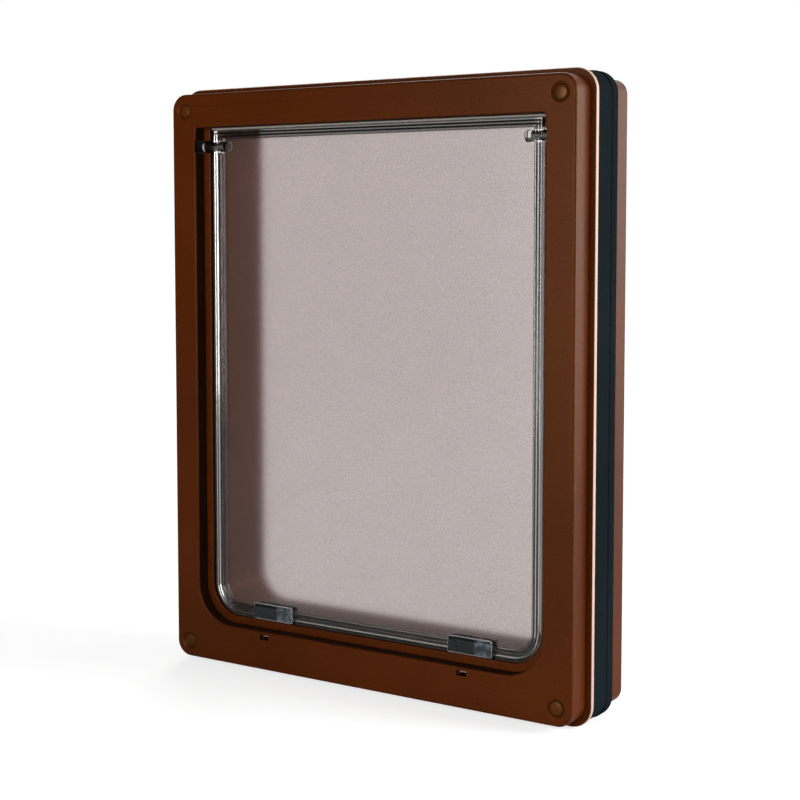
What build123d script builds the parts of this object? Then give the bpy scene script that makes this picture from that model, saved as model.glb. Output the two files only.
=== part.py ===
"""Framed dog door with a clear swinging flap, sized in millimetres.

X runs to the right seen from the front, +Y runs into the depth and +Z is up. The origin is
on the ground under the middle of the closed door, which stands on its two outer rims.
"""
import os

from build123d import *

# Front frame: the face with its skirt, and the wider flange behind it
face_width = 361.0
face_height = 455.0
face_corner_radius = 12.6
face_edge_radius = 2.2
front_body_depth = 20.9
flange_thickness = 3.3
flange_overhang = 5.0
flange_corner_radius = 16.5
flange_edge_chamfer = 0.6
frame_wall = 2.8

# Spacer ring between the frames, with a raised rim round its rear edge
spacer_depth = 31.1
spacer_overhang = 4.4
spacer_wall = 2.6
spacer_clearance = 0.2
spacer_rim_depth = 9.6
spacer_edge_chamfer = 0.7
spacer_rib_thickness = 2.0
spacer_rib_pitch = 150.0

# Rear frame
rear_depth = 24.7
rear_overhang = 0.6
rear_corner_radius = 11.0
rear_edge_chamfer = 0.9
rear_mouth_chamfer = 1.6

# Way through: a square-topped mouth with round lower corners, then a ledge and the throat
mouth_width = 313.2
mouth_top_border = 26.7
mouth_bottom_border = 30.9
mouth_lower_radius = 31.0
mouth_upper_radius = 2.5
mouth_edge_chamfer = 0.9
mouth_depth = 11.0
ledge_width = 6.1
ledge_edge_chamfer = 0.7

# Flap: a clear rigid sheet with a thick, narrow border that has ribs on both faces
flap_gap = 2.7
flap_top_gap = 2.2
flap_setback = 1.2
flap_thickness = 7.8
flap_sheet_thickness = 2.8
flap_border = 6.2
flap_rib_height = 0.6
flap_rib_width = 1.2
flap_rib_count = 3
flap_edge_chamfer = 0.4

# Flap pivots: clear trunnions on the flap, black sleeves, steel pins and black sockets
hinge_drop = 14.8
trunnion_diameter = 8.8
trunnion_inner_length = 14.0
trunnion_wall = 1.1
trunnion_play = 0.5
sleeve_length = 21.0
sleeve_seat_clearance = 0.04
pin_diameter = 3.5
pin_length = 24.0
pin_running_clearance = 0.05
pin_seat_clearance = 0.04
socket_recess = 3.5
socket_length = 8.0
socket_front = 3.6
socket_housing_wall = 3.0
socket_notch = 1.0

# Magnet closers clasping the lower border of the flap, and their keepers under the sill
closer_spacing = 181.4
closer_width = 38.0
closer_height = 12.4
closer_drop = 2.3
closer_front = 1.4
closer_end_slope = 2.0
closer_top_slope = 2.6
closer_lap = 2.0
closer_seat_gap = 0.15
closer_lip_step = 0.3
closer_notch_height = 5.6
closer_slot_width = 7.0
closer_slot_height = 0.9
closer_slot_rise = 1.3
closer_slot_depth = 0.7
magnet_width = 17.0
magnet_height = 5.8
magnet_thickness = 6.0
magnet_offset = -4.6
magnet_gap = 0.1
cover_thickness = 1.4
cover_edge_chamfer = 0.5
tab_width = 1.6
tab_height = 5.0
tab_spacing = 30.8
tab_clearance = 0.05
keeper_width = 7.2
keeper_thickness = 1.6
keeper_top_leg = 8.0
keeper_setback = 0.3
keeper_rail_thickness = 1.6
keeper_rail_gap = 0.2
face_slot_width = 8.2
face_slot_height = 3.8

# Brush strips let into the throat round the flap, and a soft strip over its top edge
brush_backing_width = 4.2
brush_backing_depth = 0.8
brush_pile_width = 2.6
brush_tip_gap = 0.3
brush_end_gap = 1.0
top_seal_width = 7.0
top_seal_thickness = 1.3

# Clamp screws through the corners, their dished wells and their caps
screw_inset_x = 12.7
screw_inset_z = 13.2
screw_shank_diameter = 4.8
screw_head_diameter = 8.8
screw_head_height = 2.8
screw_hole_clearance = 0.3
screw_bite = 15.0
screw_thread_clearance = 0.05
screw_tip_room = 2.0
post_wall = 2.6
well_diameter = 14.8
well_depth = 2.0
screw_bore_depth = 8.5
screw_head_clearance = 0.3
cap_clearance = 0.15
cap_crown_rise = 1.8
cap_shoulder_width = 1.9
cap_head_gap = 0.3

# Places that follow from the sizes above
front_depth = front_body_depth + flange_thickness
front_y = -(front_depth + spacer_depth + rear_depth) / 2
flange_y = front_y + front_body_depth
spacer_y = front_y + front_depth
rim_y = spacer_y + spacer_depth - spacer_rim_depth
rear_y = spacer_y + spacer_depth
centre_z = face_height / 2 + flange_overhang
mouth_top = centre_z + face_height / 2 - mouth_top_border
mouth_bottom = centre_z - face_height / 2 + mouth_bottom_border
ledge_y = front_y + mouth_depth
throat_half_width = mouth_width / 2 - ledge_width
sill_z = mouth_bottom + ledge_width
flap_front_y = ledge_y + flap_setback
flap_back_y = flap_front_y + flap_thickness
hinge_y = (flap_front_y + flap_back_y) / 2
hinge_z = mouth_top - hinge_drop
flap_inset = ledge_width + flap_gap
flap_half_width = mouth_width / 2 - flap_inset
flap_bottom = mouth_bottom + flap_inset
flap_rib_pitch = (flap_border - flap_rib_width) / (flap_rib_count - 1)
trunnion_inner_x = flap_half_width - trunnion_inner_length
socket_x = mouth_width / 2 + socket_recess
trunnion_end_x = socket_x - trunnion_play
sleeve_inner_x = trunnion_end_x - sleeve_length
sleeve_diameter = trunnion_diameter - 2 * trunnion_wall
pin_outer_x = socket_x + socket_length
pin_inner_x = pin_outer_x - pin_length
pocket_height = trunnion_diameter + 2 * trunnion_play
closer_x = closer_spacing / 2
closer_bottom = flap_bottom - closer_drop
closer_top = closer_bottom + closer_height
closer_middle = (closer_bottom + closer_top) / 2
closer_core_width = closer_width - 2 * closer_lap
closer_core_top = flap_bottom + closer_notch_height - closer_seat_gap
closer_core_middle = (closer_bottom + closer_core_top) / 2
closer_face_y = flap_front_y - closer_front
face_slot_z = mouth_bottom - frame_wall - face_slot_height / 2
brush_top = hinge_z - pocket_height / 2 - brush_end_gap
screw_x = face_width / 2 - screw_inset_x
screw_z = face_height / 2 - screw_inset_z
screw_hole_diameter = screw_shank_diameter + 2 * screw_hole_clearance
screw_bore_diameter = screw_head_diameter + 2 * screw_head_clearance
screw_thread_diameter = screw_shank_diameter + 2 * screw_thread_clearance
screw_seat_y = front_y + screw_bore_depth
screw_tip_y = rear_y + screw_bite

SIDES = (("left", -1), ("right", 1))
CORNERS = (("top_left", -1, 1), ("top_right", 1, 1), ("bottom_left", -1, -1), ("bottom_right", 1, -1))


def across(y):
    """Plane across the door at depth y, seen from the front, with its origin on the middle."""
    return Plane(origin=(0, y, centre_z), x_dir=(1, 0, 0), z_dir=(0, -1, 0))


def on_hinge_line(x):
    """Plane square to the hinge line at x, with its origin on that line."""
    return Plane(origin=(x, hinge_y, hinge_z), x_dir=(0, 1, 0), z_dir=(1, 0, 0))


def outer_outline(y, overhang, radius):
    """Rounded rectangle that stands out past the face by the overhang on every side."""
    with BuildSketch(across(y)) as outline:
        RectangleRounded(face_width + 2 * overhang, face_height + 2 * overhang, radius)
    return outline.sketch


def way_outline(y, inset, top_inset=0.0, upper_radius=0.0):
    """Outline of the way through, moved inwards: round at the bottom, square at the top unless told."""
    low = mouth_bottom + inset - centre_z
    high = mouth_top - top_inset - centre_z
    with BuildSketch(across(y)) as outline:
        with Locations((0, (low + high) / 2)):
            Rectangle(mouth_width - 2 * inset, high - low)
        fillet(outline.vertices().group_by(Axis.Y)[0], mouth_lower_radius - inset)
        if upper_radius > 0:
            fillet(outline.vertices().group_by(Axis.Y)[-1], upper_radius)
    return outline.sketch


def corner_rounds(y, diameter):
    """Circles on the four screw centres, on the plane across the door at depth y."""
    with BuildSketch(across(y)) as rounds:
        with GridLocations(2 * screw_x, 2 * screw_z, 2, 2):
            Circle(diameter / 2)
    return rounds.sketch


def rim_edges(part, y, overhang):
    """Edges of the part at depth y that lie on the outline with this overhang."""
    reach_x = face_width / 2 + overhang - 0.05
    reach_z = face_height / 2 + overhang - 0.05
    level = part.edges().filter_by_position(Axis.Y, y - 0.01, y + 0.01)
    return level.filter_by(
        lambda edge: abs((edge @ 0).X) > reach_x or abs((edge @ 0).Z - centre_z) > reach_z
    )


# Front frame: a moulded shell, open to the rear, with its walls, posts, sockets and slots
with BuildPart() as front_frame:
    extrude(outer_outline(front_y, 0, face_corner_radius), amount=-front_depth)
    fillet(front_frame.faces().sort_by(Axis.Y)[0].edges(), face_edge_radius)
    extrude(outer_outline(flange_y, flange_overhang, flange_corner_radius), amount=-flange_thickness)
    chamfer(rim_edges(front_frame, flange_y, flange_overhang), flange_edge_chamfer)
    extrude(
        outer_outline(spacer_y, -frame_wall, face_corner_radius - frame_wall),
        amount=front_depth - frame_wall,
        mode=Mode.SUBTRACT,
    )
    # walls of the mouth, of the ledge behind it and of the throat
    extrude(way_outline(front_y + frame_wall, -frame_wall, -frame_wall), amount=-mouth_depth)
    extrude(way_outline(ledge_y, ledge_width - frame_wall, -frame_wall), amount=-(front_depth - mouth_depth))
    extrude(
        corner_rounds(front_y + frame_wall, well_diameter + 2 * post_wall),
        amount=-(front_depth - frame_wall),
    )
    # housings round the pivot sockets, which slide in from the rear
    for _, side in SIDES:
        with Locations((side * throat_half_width, front_y + frame_wall, hinge_z)):
            Box(
                pin_outer_x + socket_housing_wall - throat_half_width,
                front_depth - frame_wall,
                pocket_height + 2 * socket_housing_wall,
                align=(Align.MIN if side > 0 else Align.MAX, Align.MIN, Align.CENTER),
            )
    # hooked rails that hold the keepers under the wall of the mouth
    with BuildSketch(across(front_y + frame_wall)) as rails:
        rail_foot = keeper_thickness + keeper_rail_gap
        for _, side in SIDES:
            for edge in (-1, 1):
                rail_x = side * closer_x + edge * (keeper_width / 2 + keeper_rail_gap)
                with Locations((rail_x, mouth_bottom - frame_wall - centre_z)):
                    Rectangle(
                        keeper_rail_thickness,
                        rail_foot + keeper_rail_thickness,
                        align=(Align.MIN if edge > 0 else Align.MAX, Align.MAX),
                    )
                with Locations((rail_x, mouth_bottom - frame_wall - rail_foot - centre_z)):
                    Rectangle(
                        2 * keeper_rail_thickness,
                        keeper_rail_thickness,
                        align=(Align.CENTER, Align.MAX),
                    )
    extrude(rails.sketch, amount=-mouth_depth)
    # the mouth and the throat
    extrude(way_outline(front_y, 0, 0, mouth_upper_radius), amount=-mouth_depth, mode=Mode.SUBTRACT)
    extrude(way_outline(ledge_y, ledge_width), amount=-(front_depth - mouth_depth), mode=Mode.SUBTRACT)
    chamfer(front_frame.faces().sort_by(Axis.Y)[0].inner_wires()[0].edges(), mouth_edge_chamfer)
    ledge_edges = front_frame.edges().filter_by_position(Axis.Y, ledge_y - 0.01, ledge_y + 0.01)
    ledge_edges = ledge_edges.filter_by(
        lambda edge: max(abs((edge @ 0).X), abs((edge @ 1).X)) < throat_half_width + 0.1
        and min((edge @ 0).Z, (edge @ 1).Z) > sill_z - 0.1
    )
    chamfer(ledge_edges, ledge_edge_chamfer)
    # groove for the backing of the brush strips
    groove_y = hinge_y - brush_backing_width / 2
    extrude(
        way_outline(groove_y, ledge_width - brush_backing_depth, mouth_top - brush_top),
        amount=-brush_backing_width,
        mode=Mode.SUBTRACT,
    )
    # pockets for the trunnions and the sockets, and a shallow notch out to the face
    for _, side in SIDES:
        for start_y, length, reach in (
            (front_y + socket_front, front_depth - socket_front, pin_outer_x),
            (front_y, socket_front, mouth_width / 2 + socket_notch),
        ):
            with Locations((side * (throat_half_width - ledge_width), start_y, hinge_z)):
                Box(
                    reach - throat_half_width + ledge_width,
                    length,
                    pocket_height,
                    align=(Align.MIN if side > 0 else Align.MAX, Align.MIN, Align.CENTER),
                    mode=Mode.SUBTRACT,
                )
    # slots in the face in front of the keepers
    with BuildSketch(across(front_y)) as face_slots:
        with Locations((-closer_x, face_slot_z - centre_z), (closer_x, face_slot_z - centre_z)):
            Rectangle(face_slot_width, face_slot_height)
    extrude(face_slots.sketch, amount=-frame_wall, mode=Mode.SUBTRACT)
    # dished wells, bores for the heads and holes for the shanks of the screws
    for _, side, level in CORNERS:
        well_centre = (side * screw_x, front_y, centre_z + level * screw_z)
        with BuildSketch(Plane(origin=well_centre, x_dir=(1, 0, 0), z_dir=(0, 0, 1))) as well:
            with BuildLine():
                Polyline(
                    (0, 0),
                    (well_diameter / 2, 0),
                    (screw_bore_diameter / 2, well_depth),
                    (screw_bore_diameter / 2, screw_bore_depth),
                    (screw_hole_diameter / 2, screw_bore_depth),
                    (screw_hole_diameter / 2, front_depth),
                    (0, front_depth),
                    close=True,
                )
            make_face()
        revolve(well.sketch, axis=Axis(well_centre, (0, 1, 0)), mode=Mode.SUBTRACT)
front_frame.part.label = "front_frame"

# Spacer ring: a channel between the frames, with ribs between its walls and holes for the screws
with BuildPart() as spacer_ring:
    extrude(outer_outline(spacer_y, spacer_overhang, flange_corner_radius), amount=-spacer_depth)
    extrude(outer_outline(rim_y, flange_overhang, flange_corner_radius), amount=-spacer_rim_depth)
    chamfer(rim_edges(spacer_ring, rear_y, flange_overhang), spacer_edge_chamfer)
    # the channel, with a lip at the rear that the wall of the rear frame lies against
    channel_y = spacer_y + spacer_wall
    extrude(
        outer_outline(channel_y, spacer_overhang - spacer_wall, flange_corner_radius - spacer_wall),
        amount=-(spacer_depth - 2 * spacer_wall),
        mode=Mode.SUBTRACT,
    )
    extrude(
        outer_outline(rear_y, rear_overhang - frame_wall, rear_corner_radius - frame_wall),
        amount=spacer_wall,
        mode=Mode.SUBTRACT,
    )
    inner_reach = frame_wall + spacer_clearance
    extrude(
        way_outline(channel_y, ledge_width - inner_reach - spacer_wall, -inner_reach - spacer_wall),
        amount=-(spacer_depth - spacer_wall),
    )
    channel_side = face_width / 2 + spacer_overhang - spacer_wall / 2
    channel_end = face_height / 2 + spacer_overhang - spacer_wall / 2
    straight_bottom = mouth_bottom + mouth_lower_radius
    rib_count_z = int((mouth_top - straight_bottom) / spacer_rib_pitch)
    for step in range(rib_count_z):
        rib_z = (mouth_top + straight_bottom) / 2 + (step - (rib_count_z - 1) / 2) * spacer_rib_pitch
        for _, side in SIDES:
            with Locations((side * throat_half_width, channel_y, rib_z)):
                Box(
                    channel_side - throat_half_width,
                    spacer_depth - 2 * spacer_wall,
                    spacer_rib_thickness,
                    align=(Align.MIN if side > 0 else Align.MAX, Align.MIN, Align.CENTER),
                )
    rib_count_x = int((mouth_width - 2 * mouth_lower_radius) / spacer_rib_pitch) + 1
    for step in range(rib_count_x):
        rib_x = (step - (rib_count_x - 1) / 2) * spacer_rib_pitch
        for low, high in ((centre_z - channel_end, sill_z), (mouth_top, centre_z + channel_end)):
            with Locations((rib_x, channel_y, low)):
                Box(
                    spacer_rib_thickness,
                    spacer_depth - 2 * spacer_wall,
                    high - low,
                    align=(Align.CENTER, Align.MIN, Align.MIN),
                )
    extrude(
        way_outline(spacer_y, ledge_width - inner_reach, -inner_reach),
        amount=-spacer_depth,
        mode=Mode.SUBTRACT,
    )
    extrude(corner_rounds(spacer_y, screw_hole_diameter), amount=-spacer_wall, mode=Mode.SUBTRACT)
spacer_ring.part.label = "spacer_ring"

# Rear frame: a shell, open to the front, with posts that the screws bite into and a throat that
# runs forward through the ring as far as the front frame
with BuildPart() as rear_frame:
    extrude(outer_outline(rear_y, rear_overhang, rear_corner_radius), amount=-rear_depth)
    chamfer(rear_frame.faces().sort_by(Axis.Y)[-1].edges(), rear_edge_chamfer)
    extrude(
        outer_outline(rear_y, rear_overhang - frame_wall, rear_corner_radius - frame_wall),
        amount=-(rear_depth - frame_wall),
        mode=Mode.SUBTRACT,
    )
    throat_depth = spacer_depth + rear_depth
    extrude(
        way_outline(spacer_y, ledge_width - frame_wall, -frame_wall), amount=-(throat_depth - frame_wall)
    )
    extrude(corner_rounds(rear_y, screw_thread_diameter + 2 * post_wall), amount=-(rear_depth - frame_wall))
    extrude(way_outline(spacer_y, ledge_width), amount=-throat_depth, mode=Mode.SUBTRACT)
    chamfer(rear_frame.faces().sort_by(Axis.Y)[-1].inner_wires()[0].edges(), rear_mouth_chamfer)
    extrude(
        corner_rounds(rear_y, screw_thread_diameter),
        amount=-(screw_bite + screw_tip_room),
        mode=Mode.SUBTRACT,
    )
rear_frame.part.label = "rear_frame"

# Flap: a clear sheet with a thick border, ribs on its faces and a trunnion at each upper corner
with BuildPart() as flap_panel:
    sheet_y = hinge_y - flap_sheet_thickness / 2
    extrude(way_outline(sheet_y, flap_inset, flap_top_gap), amount=-flap_sheet_thickness)
    border_y = flap_front_y + flap_rib_height
    extrude(
        way_outline(border_y, flap_inset, flap_top_gap)
        - way_outline(border_y, flap_inset + flap_border, flap_top_gap + flap_border),
        amount=-(flap_thickness - 2 * flap_rib_height),
    )
    for step in range(flap_rib_count):
        rib_start = step * flap_rib_pitch
        rib_end = rib_start + flap_rib_width
        extrude(
            way_outline(flap_front_y, flap_inset + rib_start, flap_top_gap + rib_start)
            - way_outline(flap_front_y, flap_inset + rib_end, flap_top_gap + rib_end),
            amount=-flap_thickness,
        )
    for rib_faces in (flap_panel.faces().group_by(Axis.Y)[0], flap_panel.faces().group_by(Axis.Y)[-1]):
        chamfer(rib_faces.sort_by(SortBy.AREA)[-1].outer_wire().edges(), flap_edge_chamfer)
    # notches in the lower border that the cores of the closers fill
    for _, side in SIDES:
        with Locations((side * closer_x, flap_front_y, flap_bottom)):
            Box(
                closer_core_width + 2 * closer_seat_gap,
                flap_thickness,
                closer_notch_height,
                align=(Align.CENTER, Align.MIN, Align.MIN),
                mode=Mode.SUBTRACT,
            )
    for _, side in SIDES:
        with BuildSketch(on_hinge_line(side * trunnion_inner_x)) as trunnion:
            Circle(trunnion_diameter / 2)
        extrude(trunnion.sketch, amount=side * (trunnion_end_x - trunnion_inner_x))
        with BuildSketch(on_hinge_line(side * sleeve_inner_x)) as trunnion_bore:
            Circle(sleeve_diameter / 2 + sleeve_seat_clearance)
        extrude(trunnion_bore.sketch, amount=side * sleeve_length, mode=Mode.SUBTRACT)
flap_panel.part.label = "flap_panel"

os.makedirs("parts", exist_ok=True)
export_step(front_frame.part, "parts/front_frame.step")
export_step(spacer_ring.part, "parts/spacer_ring.step")
export_step(rear_frame.part, "parts/rear_frame.step")
export_step(flap_panel.part, "parts/flap_panel.step")

# Pivots, closers and keepers, one of each on either side
for name, side in SIDES:
    # black sleeve pressed into the trunnion, closed at its inner end
    with BuildPart() as flap_sleeve:
        with BuildSketch(on_hinge_line(side * sleeve_inner_x)):
            Circle(sleeve_diameter / 2)
        extrude(amount=side * sleeve_length)
        with BuildSketch(on_hinge_line(side * (pin_inner_x - trunnion_play))):
            Circle(pin_diameter / 2 + pin_running_clearance)
        extrude(amount=side * (trunnion_end_x - pin_inner_x + trunnion_play), mode=Mode.SUBTRACT)
    flap_sleeve.part.label = "flap_sleeve_" + name
    export_step(flap_sleeve.part, "parts/flap_sleeve_" + name + ".step")

    # steel pin, held in the socket
    with BuildPart() as hinge_pin:
        with BuildSketch(on_hinge_line(side * pin_inner_x)):
            Circle(pin_diameter / 2)
        extrude(amount=side * pin_length)
    hinge_pin.part.label = "hinge_pin_" + name
    export_step(hinge_pin.part, "parts/hinge_pin_" + name + ".step")

    # black socket block, held in its housing by the spacer ring
    with BuildPart() as pivot_socket:
        with Locations((side * socket_x, front_y + socket_front, hinge_z)):
            Box(
                socket_length,
                front_depth - socket_front,
                pocket_height,
                align=(Align.MIN if side > 0 else Align.MAX, Align.MIN, Align.CENTER),
            )
        with BuildSketch(on_hinge_line(side * socket_x)):
            Circle(pin_diameter / 2 + pin_seat_clearance)
        extrude(amount=side * socket_length, mode=Mode.SUBTRACT)
    pivot_socket.part.label = "pivot_socket_" + name
    export_step(pivot_socket.part, "parts/pivot_socket_" + name + ".step")

    # housing of the magnet: a sloped plate before the flap and a core in its notch
    with BuildPart() as closer_housing:
        with BuildSketch(across(flap_front_y)):
            with Locations((side * closer_x, closer_middle - centre_z)):
                Rectangle(closer_width, closer_height)
        with BuildSketch(across(closer_face_y)):
            with Locations((side * closer_x, closer_middle - closer_top_slope / 2 - centre_z)):
                Rectangle(closer_width - 2 * closer_end_slope, closer_height - closer_top_slope)
        loft()
        with BuildSketch(across(flap_front_y)):
            with Locations((side * closer_x, closer_core_middle - centre_z)):
                Rectangle(closer_core_width, closer_core_top - closer_bottom)
        extrude(amount=-flap_thickness)
        with BuildSketch(across(flap_front_y)):
            with Locations((side * closer_x, flap_bottom + flap_border + closer_seat_gap - centre_z)):
                Rectangle(
                    closer_core_width,
                    closer_top - flap_bottom - flap_border - closer_seat_gap - closer_lip_step,
                    align=(Align.CENTER, Align.MIN),
                )
        extrude(amount=-(sheet_y - closer_seat_gap - flap_front_y))
        with BuildSketch(across(flap_back_y)):
            with Locations((side * closer_x, closer_core_middle - centre_z)):
                with GridLocations(tab_spacing, 0, 2, 1):
                    Rectangle(tab_width, tab_height)
        extrude(amount=-cover_thickness)
        with BuildSketch(across(flap_back_y)):
            with Locations((side * closer_x + magnet_offset, closer_core_middle - centre_z)):
                Rectangle(magnet_width + 2 * magnet_gap, magnet_height + 2 * magnet_gap)
        extrude(amount=magnet_thickness + magnet_gap, mode=Mode.SUBTRACT)
        with BuildSketch(across(closer_face_y)):
            with Locations((side * closer_x, closer_bottom + closer_slot_rise - centre_z)):
                Rectangle(closer_slot_width, closer_slot_height)
        extrude(amount=-closer_slot_depth, mode=Mode.SUBTRACT)
    closer_housing.part.label = "closer_housing_" + name
    export_step(closer_housing.part, "parts/closer_housing_" + name + ".step")

    with BuildPart() as closer_magnet:
        with BuildSketch(across(flap_back_y)):
            with Locations((side * closer_x + magnet_offset, closer_core_middle - centre_z)):
                Rectangle(magnet_width, magnet_height)
        extrude(amount=magnet_thickness)
    closer_magnet.part.label = "closer_magnet_" + name
    export_step(closer_magnet.part, "parts/closer_magnet_" + name + ".step")

    # cover behind the flap, held by two tabs of the core
    with BuildPart() as closer_cover:
        with BuildSketch(across(flap_back_y)):
            with Locations((side * closer_x, closer_middle - centre_z)):
                Rectangle(closer_width, closer_height)
        extrude(amount=-cover_thickness)
        chamfer(closer_cover.faces().sort_by(Axis.Y)[-1].edges(), cover_edge_chamfer)
        with BuildSketch(across(flap_back_y)):
            with Locations((side * closer_x, closer_core_middle - centre_z)):
                with GridLocations(tab_spacing, 0, 2, 1):
                    Rectangle(tab_width + 2 * tab_clearance, tab_height + 2 * tab_clearance)
        extrude(amount=-cover_thickness, mode=Mode.SUBTRACT)
    closer_cover.part.label = "closer_cover_" + name
    export_step(closer_cover.part, "parts/closer_cover_" + name + ".step")

    # bent steel keeper: one leg under the throat, one behind the slot in the face
    with BuildPart() as sill_keeper:
        upper_z = sill_z - frame_wall
        lower_z = mouth_bottom - frame_wall
        bend_y = ledge_y + frame_wall
        tip_y = front_y + frame_wall + keeper_setback
        keeper_plane = Plane(origin=(side * closer_x, 0, 0), x_dir=(0, 1, 0), z_dir=(1, 0, 0))
        with BuildSketch(keeper_plane):
            with BuildLine():
                Polyline(
                    (tip_y, lower_z),
                    (bend_y, lower_z),
                    (bend_y, upper_z),
                    (bend_y + keeper_top_leg, upper_z),
                    (bend_y + keeper_top_leg, upper_z - keeper_thickness),
                    (bend_y + keeper_thickness, upper_z - keeper_thickness),
                    (bend_y + keeper_thickness, lower_z - keeper_thickness),
                    (tip_y, lower_z - keeper_thickness),
                    close=True,
                )
            make_face()
        extrude(amount=keeper_width / 2, both=True)
    sill_keeper.part.label = "sill_keeper_" + name
    export_step(sill_keeper.part, "parts/sill_keeper_" + name + ".step")

# Brush strips: a backing in the groove and a pile up to the edge of the flap, open at the closers
brush_outer_stop = closer_x + closer_width / 2 + brush_end_gap
brush_inner_stop = closer_x - closer_width / 2 - brush_end_gap
for name, low_x, high_x in (
    ("left", -mouth_width / 2, -brush_outer_stop),
    ("middle", -brush_inner_stop, brush_inner_stop),
    ("right", brush_outer_stop, mouth_width / 2),
):
    with BuildPart() as brush_strip:
        for inset_from, inset_to, width in (
            (ledge_width - brush_backing_depth, ledge_width, brush_backing_width),
            (ledge_width, flap_inset - brush_tip_gap, brush_pile_width),
        ):
            start_y = hinge_y - width / 2
            extrude(way_outline(start_y, inset_from, mouth_top - brush_top), amount=-width)
            extrude(
                way_outline(start_y, inset_to, mouth_top - brush_top),
                amount=-width,
                mode=Mode.SUBTRACT,
            )
        with Locations(((low_x + high_x) / 2, hinge_y, centre_z)):
            Box(high_x - low_x, 2 * brush_backing_width, face_height, mode=Mode.INTERSECT)
    brush_strip.part.label = "brush_strip_" + name
    export_step(brush_strip.part, "parts/brush_strip_" + name + ".step")

# Soft strip along the ceiling over the top edge of the flap
with BuildPart() as top_seal:
    with Locations((0, hinge_y, mouth_top)):
        Box(
            2 * throat_half_width,
            top_seal_width,
            top_seal_thickness,
            align=(Align.CENTER, Align.CENTER, Align.MAX),
        )
top_seal.part.label = "top_seal"
export_step(top_seal.part, "parts/top_seal.step")

# Clamp screws: four alike, with a flat cheese head
with BuildPart() as clamp_screws:
    extrude(corner_rounds(screw_seat_y, screw_head_diameter), amount=screw_head_height)
    extrude(corner_rounds(screw_seat_y, screw_shank_diameter), amount=-(screw_tip_y - screw_seat_y))
clamp_screws.part.label = "clamp_screws"
export_step(clamp_screws.part, "parts/clamp_screws.step")

# Screw caps: four plugs alike over the screw heads, with a low crown just under the level of the face
cap_diameter = screw_bore_diameter - 2 * cap_clearance
cap_foot_y = screw_seat_y - screw_head_height - cap_head_gap
cap_shoulder_y = front_y + well_depth
with BuildPart() as screw_caps:
    extrude(corner_rounds(cap_foot_y, cap_diameter), amount=cap_foot_y - cap_shoulder_y + cap_crown_rise)
    cap_crowns = screw_caps.faces().group_by(Axis.Y)[0]
    chamfer(cap_crowns.edges(), cap_crown_rise, cap_shoulder_width)
screw_caps.part.label = "screw_caps"
export_step(screw_caps.part, "parts/screw_caps.step")
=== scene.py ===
"""Looks of a framed dog door: moulded brown frames, a clear flap, magnet closers and brushes."""

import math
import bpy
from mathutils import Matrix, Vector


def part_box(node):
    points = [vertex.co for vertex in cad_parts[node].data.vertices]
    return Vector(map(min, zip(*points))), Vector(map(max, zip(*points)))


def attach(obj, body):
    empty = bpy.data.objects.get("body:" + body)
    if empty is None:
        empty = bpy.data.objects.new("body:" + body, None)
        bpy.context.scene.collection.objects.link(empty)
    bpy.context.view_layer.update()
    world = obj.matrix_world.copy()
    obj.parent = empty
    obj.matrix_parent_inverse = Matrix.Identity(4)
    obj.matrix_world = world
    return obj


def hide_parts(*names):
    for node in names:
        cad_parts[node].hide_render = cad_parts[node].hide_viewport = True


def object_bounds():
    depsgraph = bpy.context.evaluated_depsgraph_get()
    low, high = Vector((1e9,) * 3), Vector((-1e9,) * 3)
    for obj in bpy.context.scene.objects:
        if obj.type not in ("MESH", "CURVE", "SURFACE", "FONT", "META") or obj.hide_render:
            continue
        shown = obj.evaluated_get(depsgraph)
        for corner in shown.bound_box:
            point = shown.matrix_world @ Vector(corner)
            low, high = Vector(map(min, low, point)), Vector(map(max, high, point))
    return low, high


bl_info = {
    "name": "Dog Door",
    "version": (1, 0, 0),
    "blender": (4, 5, 0),
    "location": "View3D > Sidebar > Dog Door",
    "description": "Dresses the solids of a framed dog door and sets it on a pale studio floor",
    "category": "Add Mesh",
}

import bmesh
import bpy
from bpy.props import FloatProperty, FloatVectorProperty, IntProperty, PointerProperty
from mathutils import Matrix, Vector

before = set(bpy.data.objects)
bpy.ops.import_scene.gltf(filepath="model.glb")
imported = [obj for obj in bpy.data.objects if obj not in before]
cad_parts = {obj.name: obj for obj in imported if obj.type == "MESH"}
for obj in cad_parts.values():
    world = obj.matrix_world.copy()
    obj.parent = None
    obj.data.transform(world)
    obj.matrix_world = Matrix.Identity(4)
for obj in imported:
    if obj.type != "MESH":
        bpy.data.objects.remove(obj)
cad_low, cad_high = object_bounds()

SIDES = ("left", "right")
BRUSH_STRIPS = ("brush_strip_left", "brush_strip_middle", "brush_strip_right")

# A ramp works from 0 to 1, so a length in metres is turned into millimetres or centimetres for it
IN_MM = 1000.0
IN_CM = 100.0

# Refraction of clear plastic
CLEAR_IOR = 1.49

# Distance within which two places of a solid count as level with each other
LEVEL_WITHIN = 1e-5


# Sizes and colours that a user would change


def length(name, description, default):
    """A property for a length in metres."""
    return FloatProperty(
        name=name,
        description=description,
        default=default,
        min=0.0,
        unit="LENGTH",
        subtype="DISTANCE",
        precision=5,
    )


def colour(name, description, default):
    """A property for a surface colour."""
    return FloatVectorProperty(
        name=name,
        description=description,
        default=default,
        min=0.0,
        max=1.0,
        size=3,
        subtype="COLOR",
    )


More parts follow.
